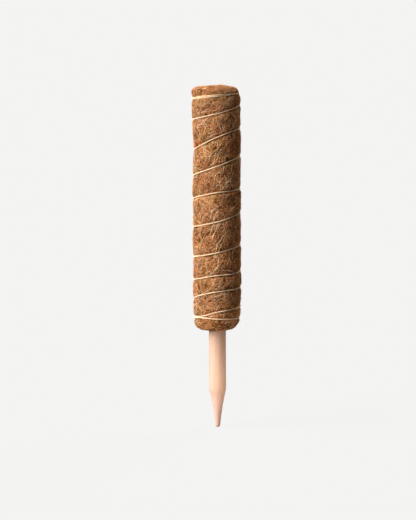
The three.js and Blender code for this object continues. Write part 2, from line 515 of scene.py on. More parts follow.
class NodeSheet:
    """A material's node tree with short calls to add and join nodes."""

    def __init__(self, name: str) -> None:
        """Start a material with a Principled shader.

        Args:
            name: Name of the material.
        """
        self.material = bpy.data.materials.new(name)
        self.material.use_nodes = True
        self.tree = self.material.node_tree
        self.shader = self.tree.nodes["Principled BSDF"]

    def add(self, kind: str, **values: object) -> bpy.types.Node:
        """Add a node.

        Args:
            kind: Name of the node type, without its ShaderNode prefix.
            values: Properties of the node, or default values of its inputs.

        Returns:
            The node.
        """
        node = self.tree.nodes.new("ShaderNode" + kind)
        for key, value in values.items():
            label = key.replace("_", " ").title()
            if label in node.inputs:
                node.inputs[label].default_value = value
            else:
                setattr(node, key, value)
        return node

    def join(self, source: Socket, target: Socket) -> None:
        """Link an output to an input."""
        self.tree.links.new(source, target)

    def attribute(self, name: str) -> Socket:
        """Value that each strand of a mesh has under a name."""
        return self.add("Attribute", attribute_name=name).outputs["Fac"]

    def object_space(self, axes: Place) -> Socket:
        """Object coordinates, scaled along each axis.

        Args:
            axes: Scale along X, Y and Z.

        Returns:
            The coordinates.
        """
        place = self.add("TexCoord")
        mapping = self.add("Mapping", scale=axes)
        self.join(place.outputs["Object"], mapping.inputs["Vector"])
        return mapping.outputs["Vector"]

    def height(self) -> Socket:
        """Height on the object.

        Returns:
            The object's Z coordinate.
        """
        place = self.add("SeparateXYZ")
        self.join(self.object_space((1.0, 1.0, 1.0)), place.inputs["Vector"])
        return place.outputs["Z"]

    def noise(self, noise: Noise) -> Socket:
        """Noise over the object, as a value from 0 to 1.

        Args:
            noise: What the noise is like.

        Returns:
            The value.
        """
        node = self.add("TexNoise", scale=noise.scale, detail=noise.detail)
        node.inputs["Roughness"].default_value = noise.roughness
        node.inputs["Distortion"].default_value = noise.distortion
        self.join(self.object_space(noise.axes), node.inputs["Vector"])
        return node.outputs["Fac"]

    def ramp(self, source: Socket, stops: Stops) -> Socket:
        """Colour ramp over a value.

        Args:
            source: Output that drives the ramp.
            stops: Pairs of place and linear colour.

        Returns:
            The colour.
        """
        node = self.add("ValToRGB")
        elements = node.color_ramp.elements
        while len(elements) < len(stops):
            elements.new(0.5)
        for element, (place, colour) in zip(elements, stops):
            element.position = place
            element.color = (*colour, 1.0)
        self.join(source, node.inputs["Fac"])
        return node.outputs["Color"]

    def tint(self, value: Socket, colour: Socket, tint: Tint) -> Socket:
        """Mix a tint into a colour.

        Args:
            value: Output that says how much of the tint shows.
            colour: Output with the colour.
            tint: What is mixed in.

        Returns:
            The mixed colour.
        """
        low, high = tint.limits
        share = self.add("MapRange", from_min=low, from_max=high, to_max=tint.most)
        node = self.add("MixRGB", blend_type=tint.blend.value, color2=(*tint.colour, 1.0))
        self.join(value, share.inputs["Value"])
        self.join(share.outputs["Result"], node.inputs["Fac"])
        self.join(colour, node.inputs["Color1"])
        return node.outputs["Color"]

    def bump(self, height: Socket, strength: float, depth: float) -> None:
        """Raise the surface by a height.

        Args:
            height: Output with the height, from 0 to 1.
            strength: Share of the bump that shows.
            depth: How high a height of 1 stands.
        """
        node = self.add("Bump", strength=strength, distance=depth)
        self.join(height, node.inputs["Height"])
        self.join(node.outputs["Normal"], self.shader.inputs["Normal"])

    def gloss(self, roughness: float, shine: float) -> None:
        """Set how rough the surface is and how strongly it reflects."""
        self.shader.inputs["Roughness"].default_value = roughness
        self.shader.inputs["Specular IOR Level"].default_value = shine

    def finish(self, colour: Socket, roughness: float, shine: float) -> bpy.types.Material:
        """Give the shader its colour and gloss.

        Args:
            colour: Output with the colour.
            roughness: How rough the surface is.
            shine: How strongly it reflects.

        Returns:
            The finished material.
        """
        self.join(colour, self.shader.inputs["Base Color"])
        self.gloss(roughness, shine)
        return self.material


@dataclass(frozen=True)
class CoirFinish:
    """Dry coconut fibre: each strand has its own tone, from dark brown to straw."""

    name: str = "coir_fibre"
    tones: Stops = (
        (0.0, (0.12, 0.041, 0.01)),
        (0.3, (0.43, 0.166, 0.052)),
        (0.6, (0.78, 0.338, 0.124)),
        (0.82, (0.94, 0.495, 0.222)),
        (1.0, (0.97, 0.68, 0.44)),
    )
    patches: Noise = Noise(55.0, 3.0, 0.6)
    red: Tint = Tint((1.0, 0.76, 0.68), (0.5, 0.68), 0.5, Blend.MULTIPLY)
    gold: Tint = Tint((1.03, 1.15, 0.78), (0.5, 0.32), 0.4, Blend.MULTIPLY)
    shadows: Noise = Noise(95.0, 2.0)
    shade: Tint = Tint((0.62, 0.6, 0.58), (0.46, 0.66), 0.5, Blend.MULTIPLY)
    flecks: Noise = Noise(900.0, 2.0)
    fleck: Tint = Tint((0.3, 0.2, 0.14), (0.35, 0.7), 0.3, Blend.MULTIPLY)
    roughness: float = 0.7
    shine: float = 0.02

    def make(self) -> bpy.types.Material:
        """Make the material.

        Returns:
            The material, which reads each strand's tone and hue from its attributes.
        """
        sheet = NodeSheet(self.name)
        colour = sheet.ramp(sheet.attribute("tone"), self.tones)
        hue = sheet.add("Math", operation="ADD")
        sheet.join(sheet.noise(self.patches), hue.inputs[0])
        sheet.join(sheet.attribute("hue"), hue.inputs[1])
        colour = sheet.tint(hue.outputs["Value"], colour, self.red)
        colour = sheet.tint(hue.outputs["Value"], colour, self.gold)
        colour = sheet.tint(sheet.noise(self.shadows), colour, self.shade)
        colour = sheet.tint(sheet.noise(self.flecks), colour, self.fleck)
        return sheet.finish(colour, self.roughness, self.shine)


@dataclass(frozen=True)
class FeltPaintedShadeFinish:
    """The matted ground under the loose fibres, painted dark as shade in the gaps between the fibres, and
    darker still in the hollows between its tangled strands, as painted shade.
    """

    name: str = "coir_felt_painted_shade"
    tangle: Noise = Noise(420.0, 6.0, 0.7, 2.5)
    # Painted shade: the ground is far darker than the fibres over it, and its colour follows the same noise
    # as its relief, so it is darker where it lies lower.
    tones: Stops = ((0.35, (0.06, 0.023, 0.008)), (0.7, (0.3, 0.13, 0.045)))
    relief: float = 0.8
    relief_depth: float = 0.8 * MM
    roughness: float = 0.9
    shine: float = 0.02

    def make(self) -> bpy.types.Material:
        """Make the material.

        Returns:
            The material.
        """
        sheet = NodeSheet(self.name)
        tangle = sheet.noise(self.tangle)
        sheet.bump(tangle, self.relief, self.relief_depth)
        return sheet.finish(sheet.ramp(tangle, self.tones), self.roughness, self.shine)


@dataclass(frozen=True)
class BeechFinish:
    """Bare turned wood: pale with long grain along Z, darker bands, short flecks and, when given, painted
    light that makes the point paler.
    """

    name: str = "beech"
    grain: Noise = Noise(520.0, 5.0, 0.62, axes=(1.0, 1.0, 0.035))
    tones: Stops = ((0.3, (0.48, 0.292, 0.2)), (0.68, (0.58, 0.387, 0.298)))
    bands: Noise = Noise(150.0, 3.0, distortion=0.6, axes=(1.0, 0.55, 0.0175))
    band: Tint = Tint((0.53, 0.325, 0.245), (0.52, 0.72), 0.45)
    flecks: Noise = Noise(1500.0, 1.0, axes=(1.0, 1.0, 0.16))
    fleck: Tint = Tint((0.41, 0.24, 0.14), (0.66, 0.74), 0.7)
    # Painted light: a paler, pinker tint over the lower part of the point, which faces down and gets less
    # light.
    painted_point_light: Tint | None = None
    relief: float = 0.35
    relief_depth: float = 0.25 * MM
    roughness: float = 0.58
    shine: float = 0.3

    def make(self) -> bpy.types.Material:
        """Make the material.

        Returns:
            The material.
        """
        sheet = NodeSheet(self.name)
        grain = sheet.noise(self.grain)
        sheet.bump(grain, self.relief, self.relief_depth)
        colour = sheet.ramp(grain, self.tones)
        colour = sheet.tint(sheet.noise(self.bands), colour, self.band)
        colour = sheet.tint(sheet.noise(self.flecks), colour, self.fleck)
        if self.painted_point_light is not None:
            colour = sheet.tint(sheet.height(), colour, self.painted_point_light)
        return sheet.finish(colour, self.roughness, self.shine)


@dataclass(frozen=True)
class TwineFinish:
    """Undyed twine: cream, a little darker in patches along its length."""

    name: str = "twine_cream"
    patches: Noise = Noise(140.0, 4.0, 0.6)
    tones: Stops = ((0.36, (0.78, 0.52, 0.3)), (0.62, (0.95, 0.7, 0.46)))
    yarn: Noise = Noise(2600.0, 2.0)
    relief: float = 0.4
    relief_depth: float = 0.1 * MM
    roughness: float = 0.8
    shine: float = 0.2

    def make(self) -> bpy.types.Material:
        """Make the material.

        Returns:
            The material.
        """
        sheet = NodeSheet(self.name)
        sheet.bump(sheet.noise(self.yarn), self.relief, self.relief_depth)
        colour = sheet.ramp(sheet.noise(self.patches), self.tones)
        return sheet.finish(colour, self.roughness, self.shine)


# Modelling by hand


def deselect_all() -> None:
    """Leave nothing selected, so that an operator acts on the new piece alone."""
    if bpy.context.object is not None and bpy.context.object.mode != "OBJECT":
        bpy.ops.object.mode_set(mode="OBJECT")
    bpy.ops.object.select_all(action="DESELECT")


def lathe(name: str, line: np.ndarray, steps: int) -> bpy.types.Object:
    """Draw a profile by extruding a point, and spin it about Z.

    Args:
        name: Name of the new object.
        line: Rows of radius and height. A line that starts off the axis is closed on itself.
        steps: Steps of the spin.

    Returns:
        The closed object, with its faces pointing outwards.
    """
    deselect_all()
    bpy.ops.mesh.primitive_plane_add(size=MM, location=(0, 0, 0))
    piece = bpy.context.object
    piece.name = name
    piece.data.name = name
    bpy.ops.object.mode_set(mode="EDIT")
    bpy.ops.mesh.select_all(action="SELECT")
    bpy.ops.mesh.merge(type="CENTER")
    bpy.ops.transform.translate(value=(line[0][0], 0.0, line[0][1]))
    for out, up in np.diff(line, axis=0):
        bpy.ops.mesh.extrude_region_move(TRANSFORM_OT_translate={"value": (out, 0.0, up)})
    bpy.ops.mesh.select_all(action="SELECT")
    if line[0][0] > 0.0:
        bpy.ops.mesh.edge_face_add()
        bpy.ops.mesh.delete(type="ONLY_FACE")
        bpy.ops.mesh.select_all(action="SELECT")
    bpy.ops.mesh.spin(steps=steps, angle=FULL_TURN, center=(0, 0, 0), axis=(0, 0, 1))
    bpy.ops.mesh.select_all(action="SELECT")
    bpy.ops.mesh.remove_doubles(threshold=MERGE_GAP)
    bpy.ops.mesh.normals_make_consistent(inside=False)
    bpy.ops.object.mode_set(mode="OBJECT")
    bpy.ops.object.shade_smooth()
    return piece


def vertices_of(piece: bpy.types.Object) -> np.ndarray:
    """Read where a piece's vertices are.

    Args:
        piece: A mesh object.

    Returns:
        Rows of places.
    """
    places = np.empty(len(piece.data.vertices) * 3)
    piece.data.vertices.foreach_get("co", places)
    return places.reshape(-1, 3)


def move_vertices(piece: bpy.types.Object, places: np.ndarray) -> None:
    """Put a piece's vertices at new places."""
    piece.data.vertices.foreach_set("co", places.ravel())
    piece.data.update()


def dress(piece: bpy.types.Object, material: bpy.types.Material) -> None:
    """Give a piece its material and its body.

    Args:
        piece: The finished piece.
        material: Its material.
    """
    piece.data.materials.clear()
    piece.data.materials.append(material)
    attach(piece, BODY)
    LOG.info("%s: %d faces", piece.name, len(piece.data.polygons))


def strand_map(count: int, steps: int) -> np.ndarray:
    """Flat map of many strands, each in a cell of its own.

    Args:
        count: Number of strands.
        steps: Points along each strand.

    Returns:
        Rows of map places for the corners of all side faces, then of all end faces.
    """
    cells = math.ceil(math.sqrt(count))
    corner = np.stack([np.arange(count) % cells, np.arange(count) // cells], 1)
    along = np.linspace(CELL_MARGIN, 1.0 - CELL_MARGIN, steps)
    across = np.linspace(CELL_MARGIN, 1.0 - CELL_MARGIN, STRAND_SIDES + 1)
    grid = np.stack(np.meshgrid(along, across, indexing="ij"), -1)
    loops = np.stack([grid[:-1, :-1], grid[1:, :-1], grid[1:, 1:], grid[:-1, 1:]], 2)
    sides = corner[:, None, None, None] + loops[None]
    ends = np.concatenate([corner, corner])[:, None] + np.array(END_CELL)
    return np.concatenate([sides.reshape(-1, 2), ends.reshape(-1, 2)]) / cells


def strands(
    name: str, paths: np.ndarray, normals: np.ndarray, radii: np.ndarray, looks: dict[str, np.ndarray]
) -> bpy.types.Object:
    """One mesh of many thin three-sided strands, each closed at both ends.

    Args:
        name: Name of the new object.
        paths: Points of each strand, by strand, step and axis.
        normals: A direction at each point that one edge of the strand faces.
        radii: Radius at each point.
        looks: Values of each strand that its finish reads, by name.

    Returns:
        The object, with an attribute per look and a map that gives each strand its own cell.
    """
    count, steps, _ = paths.shape
    tangent = unit(np.gradient(paths, axis=1))
    across = unit(np.cross(tangent, normals))
    outward = np.cross(across, tangent)
    angle = FULL_TURN * np.arange(STRAND_SIDES) / STRAND_SIDES
    high = STRAND_FLATNESS * np.cos(angle)[:, None]
    section = outward[:, :, None] * high + across[:, :, None] * np.sin(angle)[:, None]
    places = paths[:, :, None] + section * radii[:, :, None, None]
    index = np.arange(count * steps * STRAND_SIDES).reshape(count, steps, STRAND_SIDES)
    turned = np.roll(index, -1, axis=2)
    sides = np.stack([index[:, :-1], index[:, 1:], turned[:, 1:], turned[:, :-1]], -1)
    ends = np.concatenate([index[:, 0], index[:, -1, ::-1]])
    mesh = bpy.data.meshes.new(name)
    mesh.from_pydata(places.reshape(-1, 3), [], sides.reshape(-1, 4).tolist() + ends.tolist())
    for look, values in looks.items():
        attribute = mesh.attributes.new(look, "FLOAT", "POINT")
        attribute.data.foreach_set("value", np.repeat(values, steps * STRAND_SIDES))
    layer = mesh.uv_layers.new(name="OFBake")
    layer.data.foreach_set("uv", strand_map(count, steps).ravel())
    mesh.polygons.foreach_set("use_smooth", np.ones(len(mesh.polygons), dtype=bool))
    piece = bpy.data.objects.new(name, mesh)
    bpy.context.collection.objects.link(piece)
    return piece


def frames(line: np.ndarray) -> tuple[np.ndarray, np.ndarray, np.ndarray]:
    """Directions along a line that runs round the pole.

    Args:
        line: Rows of points.

    Returns:
        Unit vectors along the line, away from the pole's axis and across both.
    """
    tangent = unit(np.gradient(line, axis=0))
    outward = unit(line * (1, 1, 0))
    return tangent, outward, np.cross(tangent, outward)


def ring(first: np.ndarray, second: np.ndarray, angle: np.ndarray) -> np.ndarray:
    """Directions at angles from the first vector towards the second."""
    return first * np.cos(angle)[:, None] + second * np.sin(angle)[:, None]


def drawn(name: str, lines: list[np.ndarray], radius: float) -> bpy.types.Object:
    """Draw lines as curves with a round bevel and make them one mesh.

    Args:
        name: Name of the new object.
        lines: Rows of points for each curve.
        radius: Radius of the bevel.

    Returns:
        The mesh object.
    """
    curve = bpy.data.curves.new(name, "CURVE")
    curve.dimensions = "3D"
    curve.bevel_depth = radius
    curve.bevel_resolution = 1
    curve.use_fill_caps = True
    for points in lines:
        spline = curve.splines.new("POLY")
        spline.points.add(len(points) - 1)
        spline.points.foreach_set("co", np.pad(points, ((0, 0), (0, 1)), constant_values=1).ravel())
    piece = bpy.data.objects.new(name, curve)
    bpy.context.collection.objects.link(piece)
    deselect_all()
    piece.select_set(True)
    bpy.context.view_layer.objects.active = piece
    bpy.ops.object.convert(target="MESH")
    bpy.ops.object.shade_smooth()
    return bpy.context.object


# Sub-assemblies


@dataclass(frozen=True)
class FibreLayer:
    """One layer of coir: how many locks, what each one's fibres are like and how high they lie."""

    name: str
    pieces: int
    locks: int
    fibres: int
    points: int
    length: Span
    thickness: Span
    spread: float
    curl: float
    lift: Span
    weave: float
    tone: Span
    seed: int
    slant: float = 0.0
    slant_spread: float = math.pi


@dataclass(frozen=True)
class Stray:
    """How far the fibres of one lock stray from each other."""

    heading: float = 0.16
    length: float = 0.8 * MM
    bend: float = 0.25
    swing_phase: float = 0.2
    lift: float = 0.1 * MM
    weave_phase: float = 0.3
    weave_rate: float = 0.1
    tone: float = 0.08
    hue: float = 0.02


@dataclass(frozen=True)
class Lock:
    """A single lock that stands out: its ends in degrees right of the front and millimetres up."""

    start: Span
    end: Span
    bow: float = 0.0


@dataclass
class SingleLocks:
    """The locks that stand out, each of a few fibres side by side."""

    skin: Skin
    locks: tuple[Lock, ...] = (
        Lock((21, 213), (52, 223.5), 3.0),
        Lock((-41, 154), (-14, 145.5), 1.0),
        Lock((-49, 151), (-22, 139), 1.0),
        Lock((-8, 119), (4, 126)),
        Lock((8, 108.5), (35, 120.5), -0.8),
        Lock((-2, 99), (8, 106)),
        Lock((6, 96.5), (14, 100)),
        Lock((-8, 69), (13, 81.5), -0.6),
        Lock((-2, 73.5), (8, 79)),
        Lock((-16, 56), (-2, 61.5)),
        Lock((21, 52), (42, 64), -0.6),
        Lock((20, 180), (26, 168.5), 0.8),
        Lock((43, 134.5), (43.5, 127.5)),
        Lock((53, 172.5), (55, 157.5), 0.5),
        Lock((-62, 55), (-46, 44), -0.6),
    )
    fibres: int = 3
    points: int = 14
    aside: float = 0.35
    wave: float = 0.5
    end_start: float = 0.6
    lift: float = 0.3 * MM
    radius: Span = (0.2 * MM, 0.32 * MM)
    tone: Span = (0.78, 0.98)
    hue_spread: float = 0.03
    seed: int = 31

    def mesh(self) -> bpy.types.Object:
        """Lay the locks on the skin.

        Returns:
            The locks, as one mesh.
        """
        draw = np.random.default_rng(self.seed)
        share = np.linspace(0.0, 1.0, self.points)
        bearings, heights = [], []
        for lock in self.locks:
            (first, low), (last, high) = lock.start, lock.end
            for _ in range(self.fibres):
                aside, above = draw.normal(0.0, self.aside, 2)
                wave = self.wave * np.sin(FULL_TURN * (share + draw.uniform()))
                degrees = FRONT_DEGREES + first + (last - first) * share + aside + wave
                bearings.append(np.radians(degrees))
                bowed = lock.bow * 4 * share * (1 - share)
                heights.append((low + (high - low) * share + bowed + above) * MM)
        count = len(bearings)
        by_height = np.argsort(self.skin.line[:, 1])
        along = np.interp(np.array(heights), self.skin.line[by_height, 1], self.skin.along[by_height])
        ends = near_ends(share, self.end_start)
        lift = np.full((count, 1), self.lift) - END_DIP * ends
        points, normals = self.skin.place(np.array(bearings), along, lift)
        radii = draw.uniform(*self.radius, (count, 1)) * (1.0 - END_THINNING * ends)
        looks = {"tone": draw.uniform(*self.tone, count), "hue": draw.normal(0.0, self.hue_spread, count)}
        return strands("coir_locks", points, normals, radii, looks)


@dataclass
class CoirSleeve:
    """The coir: a felted body drawn in by the twine, under layers of tangled locks of fibre."""

    skin: Skin
    columns: int = 180
    body_stride: int = 2
    ground: float = 1.0 * MM
    end_tangle: float = 12 * MM
    end_start: float = 0.55
    mouth_keep: float = 0.3 * MM
    weave_rate: Span = (0.8, 2.2)
    tone_shape: float = 0.7
    hue_spread: float = 0.06
    stray: Stray = Stray()
    layers: tuple[FibreLayer, ...] = (
        # The lowest layer takes darker tones than the layers over it: painted shade under the upper fibres.
        FibreLayer(
            "coir_under_painted_shade", pieces=2, locks=2500, fibres=3, points=6, length=(9 * MM, 20 * MM),
            thickness=(0.4 * MM, 0.7 * MM), spread=0.45 * MM, curl=1.4, lift=(-0.9 * MM, -0.4 * MM),
            weave=0.2 * MM, tone=(0.1, 0.55), seed=11,
        ),
        FibreLayer(
            "coir_mat", pieces=5, locks=9600, fibres=2, points=8, length=(7 * MM, 17 * MM),
            thickness=(0.28 * MM, 0.5 * MM), spread=0.2 * MM, curl=1.2, lift=(-0.6 * MM, 0.0),
            weave=0.35 * MM, tone=(0.05, 0.95), seed=12, slant=math.radians(74), slant_spread=1.1,
        ),
        FibreLayer(
            "coir_top", pieces=2, locks=2300, fibres=2, points=10, length=(12 * MM, 28 * MM),
            thickness=(0.26 * MM, 0.48 * MM), spread=0.3 * MM, curl=1.3, lift=(-0.25 * MM, 0.15 * MM),
            weave=0.3 * MM, tone=(0.3, 0.9), seed=13, slant=math.radians(75), slant_spread=1.1,
        ),
        FibreLayer(
            "coir_long", pieces=1, locks=380, fibres=2, points=14, length=(26 * MM, 50 * MM),
            thickness=(0.35 * MM, 0.7 * MM), spread=0.3 * MM, curl=0.8, lift=(-0.05 * MM, 0.25 * MM),
            weave=0.2 * MM, tone=(0.5, 1.0), seed=14, slant=math.radians(75), slant_spread=1.0,
        ),
        FibreLayer(
            "coir_slant", pieces=1, locks=520, fibres=2, points=10, length=(14 * MM, 32 * MM),
            thickness=(0.45 * MM, 0.8 * MM), spread=0.3 * MM, curl=0.35, lift=(0.1 * MM, 0.35 * MM),
            weave=0.15 * MM, tone=(0.6, 1.0), seed=16, slant=math.radians(64), slant_spread=0.5,
        ),
        FibreLayer(
            "coir_stray", pieces=1, locks=1500, fibres=1, points=6, length=(6 * MM, 14 * MM),
            thickness=(0.14 * MM, 0.26 * MM), spread=0.0, curl=1.6, lift=(0.1 * MM, 1.0 * MM),
            weave=0.5 * MM, tone=(0.4, 1.0), seed=15,
        ),
    )

    def build(self) -> None:
        """Build the body and the fibres, and put them in the place of the CAD sleeve."""
        body = self.body()
        # The body takes a painted-shade finish, dark where it shows between the fibres.
        dress(body, FeltPaintedShadeFinish().make())
        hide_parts("coir_sleeve")
        fibre = CoirFinish().make()
        for layer in self.layers:
            for piece in self.fibres(layer):
                dress(piece, fibre)
        dress(SingleLocks(self.skin).mesh(), fibre)

    def body(self) -> bpy.types.Object:
        """Felted body: the section spun round the pole, then drawn in and made uneven.

        Returns:
            The body, with its bore.
        """
        line = self.skin.line[::self.body_stride]
        along = self.skin.along[::self.body_stride]
        piece = lathe("coir_body", line, self.columns)
        places = vertices_of(piece)
        bearing = np.arctan2(places[:, 1], places[:, 0])
        section = np.stack([np.hypot(places[:, 0], places[:, 1]), places[:, 2]], 1)
        nearest = [np.argmin(((line - point) ** 2).sum(1)) for point in section]
        points, _ = self.skin.place(bearing, along[nearest], np.full(len(places), -self.ground))
        move_vertices(piece, points)
        return piece

    def walk(
        self, bearing: np.ndarray, start: np.ndarray, length: np.ndarray, headings: np.ndarray
    ) -> tuple[np.ndarray, np.ndarray]:
        """Lay fibres over the skin, step by step.

        Args:
            bearing: Bearing of each fibre's root, in radians.
            start: Length along the skin's section of each root.
            length: Length of each fibre.
            headings: Heading of each fibre at each step, in radians.

        Returns:
            Bearings and lengths along the section, by fibre and step.
        """
        stride = length / (headings.shape[1] - 1)
        bearings, alongs = [bearing], [start]
        for heading in headings.T[1:]:
            along = alongs[-1] + stride * np.sin(heading)
            along = np.clip(along, self.mouth_keep, self.skin.length - self.mouth_keep)
            bearings.append(bearings[-1] + stride * np.cos(heading) / self.skin.radius(along))
            alongs.append(along)
        return np.stack(bearings, 1), np.stack(alongs, 1)

    def fibres(self, layer: FibreLayer) -> list[bpy.types.Object]:
        """Locks of fibre of one layer, wandering over the skin, shared among a few meshes by height.

        Args:
            layer: What the layer's locks are like.

        Returns:
            The meshes, from the foot up.
        """
        draw = np.random.default_rng(layer.seed)
        skin, stray = self.skin, self.stray
        count = layer.locks * layer.fibres

        def by_lock(values: np.ndarray, own: float) -> np.ndarray:
            """One value per lock, with a little of its own for each fibre."""
            return np.repeat(values, layer.fibres) + draw.normal(0.0, own, count)

        root = np.sort(draw.uniform(0.0, skin.length, layer.locks))
        on_side = np.abs(root - skin.length / 2) < skin.length / 2 - self.end_tangle
        lean = draw.uniform(-1.0, 1.0, layer.locks) * np.where(on_side, layer.slant_spread, math.pi)
        heading = by_lock(layer.slant + lean, stray.heading)
        aside = draw.normal(0.0, layer.spread, count)
        start = by_lock(root, layer.spread)
        start = np.clip(start + aside * np.cos(heading), 0.0, skin.length)
        bearing = np.repeat(draw.uniform(0.0, FULL_TURN, layer.locks), layer.fibres)
        bearing = bearing - aside * np.sin(heading) / skin.radius(start)
        length = by_lock(draw.uniform(*layer.length, layer.locks), stray.length)
        bend = by_lock(draw.normal(0.0, layer.curl, layer.locks), stray.bend)[:, None]
        swing = by_lock(draw.normal(0.0, layer.curl, layer.locks), stray.bend)[:, None]
        swing_phase = by_lock(draw.uniform(0.0, FULL_TURN, layer.locks), stray.swing_phase)[:, None]
        share = np.linspace(0.0, 1.0, layer.points)
        turn = bend * share + swing * np.sin(FULL_TURN * share + swing_phase)
        bearings, alongs = self.walk(bearing, start, length, heading[:, None] + turn)
        lift = by_lock(draw.uniform(*layer.lift, layer.locks), stray.lift)[:, None]
        phase = by_lock(draw.uniform(0.0, FULL_TURN, layer.locks), stray.weave_phase)[:, None]
        rate = by_lock(draw.uniform(*self.weave_rate, layer.locks), stray.weave_rate)[:, None]
        ends = near_ends(share, self.end_start)
        lift = lift + layer.weave * np.sin(FULL_TURN * rate * share + phase) - END_DIP * ends
        points, normals = skin.place(bearings, alongs, lift)
        radii = draw.uniform(*layer.thickness, (count, 1)) / 2 * (1.0 - END_THINNING * ends)
        low, high = layer.tone
        tones = low + (high - low) * draw.beta(self.tone_shape, self.tone_shape, layer.locks)
        tones = np.clip(by_lock(tones, stray.tone), 0.0, 1.0)
        hues = by_lock(draw.normal(0.0, self.hue_spread, layer.locks), stray.hue)
        made = []
        for number, part in enumerate(np.array_split(np.arange(count), layer.pieces), 1):
            name = f"{layer.name}_{number}" if layer.pieces > 1 else layer.name
            looks = {"tone": tones[part], "hue": hues[part]}
            made.append(strands(name, points[part], normals[part], radii[part], looks))
        return made


@dataclass
class TwineBinding:
    """The twine: three plies twisted together along the winding, with a knot at each end."""

    form: SleeveForm
    route_points: int = 6000
    sink: float = 0.1 * MM
    plies: int = 3
    ply_lay: float = 5.5 * MM
    ply_radius: float = 0.42 * MM
    ply_offset: float = 0.37 * MM
    steps_per_lay: int = 8
    knot_radius: float = 0.62 * MM
    knot_strand: float = 0.5 * MM
    knot_turns: float = 2.5
    knot_length: float = 2.4 * MM
    knot_points: int = 40
    knot_lead: int = 3
    tail_length: float = 3.5 * MM
    tail_root: float = 0.2 * MM
    tail_spread: float = 0.7 * MM
    tail_points: int = 10
    hairs: int = 1400
    hair_points: int = 5
    hair_length: Span = (1.2 * MM, 3.0 * MM)
    hair_radius: float = 0.045 * MM
    hair_thinning: float = 0.7
    hair_side: float = 0.4 * math.pi
    hair_root: float = 0.45 * MM
    hair_rise: float = 0.3
    hair_rise_shares: Span = (0.3, 1.0)
    hair_seed: int = 21

    def build(self) -> None:
        """Build the twine, its knots and its fuzz in the place of the CAD winding and knots."""
        material = TwineFinish().make()
        line = self.route()
        twine = drawn("twine", self.plied(line), self.ply_radius)
        lower = drawn("twine_lower_knot", self.knot(line[::-1]), self.knot_strand)
        upper = drawn("twine_upper_knot", self.knot(line), self.knot_strand)
        for piece in (twine, lower, upper, self.fuzz(line)):
            dress(piece, material)
        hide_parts("binding_twine")
        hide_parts("lower_knot")
        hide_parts("upper_knot")

    def route(self) -> np.ndarray:
        """Middle line of the twine, from knot to knot.

        Returns:
            Rows of points, evenly spaced along the line.
        """
        winding = self.form.winding
        turns = np.linspace(0.0, winding.turns, self.route_points)
        height = winding.height(turns)
        bearing = winding.bearing(turns)
        radius = self.form.swell(height) - self.form.draw_in(bearing, height) - self.form.bite
        radius = radius + winding.diameter / 2 - self.sink
        line = np.stack([radius * np.cos(bearing), radius * np.sin(bearing), height], 1)
        return evenly_spaced(line, self.ply_lay / self.steps_per_lay)

    def plied(self, line: np.ndarray) -> list[np.ndarray]:
        """Lines of the plies, twisted round a line.

        Args:
            line: Rows of points along the middle of the twine.

        Returns:
            One line of points per ply.
        """
        _, outward, across = frames(line)
        lays = lengths_along(line) / self.ply_lay
        angles = [FULL_TURN * (lays + ply / self.plies) for ply in range(self.plies)]
        return [line + self.ply_offset * ring(outward, across, angle) for angle in angles]

    def knot(self, line: np.ndarray) -> list[np.ndarray]:
        """Lines of a tight knot: the twine's end wound round itself, and a tail whose plies spread.

        Args:
            line: Rows of points along the middle of the twine, up to the end that is tied.

        Returns:
            The wound line and one line per ply of the tail.
        """
        end = line[-1]
        axis = unit(end - line[-1 - self.knot_lead])
        outward = unit(end * (1, 1, 0))
        across = np.cross(axis, outward)
        share = np.linspace(0.0, 1.0, self.knot_points)
        wound = end + axis * (self.knot_length * share)[:, None]
        wound = wound + self.knot_radius * ring(outward, across, FULL_TURN * self.knot_turns * share)
        lead = end - axis * (2 * self.knot_radius)
        lines = [np.concatenate([[lead], wound])]
        reach = np.linspace(0.0, 1.0, self.tail_points)
        tail = wound[-1] + axis * (self.tail_length * reach)[:, None]
        spread = (self.tail_root + self.tail_spread * reach**2)[:, None]
        for ply in range(self.plies):
            turn = np.full(self.tail_points, FULL_TURN * ply / self.plies)
            lines.append(tail + spread * ring(outward, across, turn))
        return lines

    def fuzz(self, line: np.ndarray) -> bpy.types.Object:
        """Short hairs that stand off the twine.

        Args:
            line: Rows of points along the middle of the twine.

        Returns:
            The hairs, as one mesh.
        """
        draw = np.random.default_rng(self.hair_seed)
        at = draw.integers(0, len(line), self.hairs)
        tangent, outward, across = (vectors[at] for vectors in frames(line))
        side = ring(outward, across, draw.uniform(-self.hair_side, self.hair_side, self.hairs))
        one_each = (self.hairs, 1, 1)
        length = draw.uniform(*self.hair_length, one_each)
        sway = draw.choice([-1.0, 1.0], one_each)
        share = np.linspace(0.0, 1.0, self.hair_points)[None, :, None]
        lean = self.hair_rise * draw.uniform(*self.hair_rise_shares, one_each)
        rise = self.hair_root + lean * length * share
        paths = line[at][:, None] + sway * length * share * tangent[:, None] + rise * side[:, None]
        radii = self.hair_radius * (1.0 - self.hair_thinning * np.repeat(share[:, :, 0], self.hairs, 0))
        normals = np.repeat(np.cross(tangent, side)[:, None], self.hair_points, 1)
        return strands("twine_fuzz", paths, normals, radii, {})


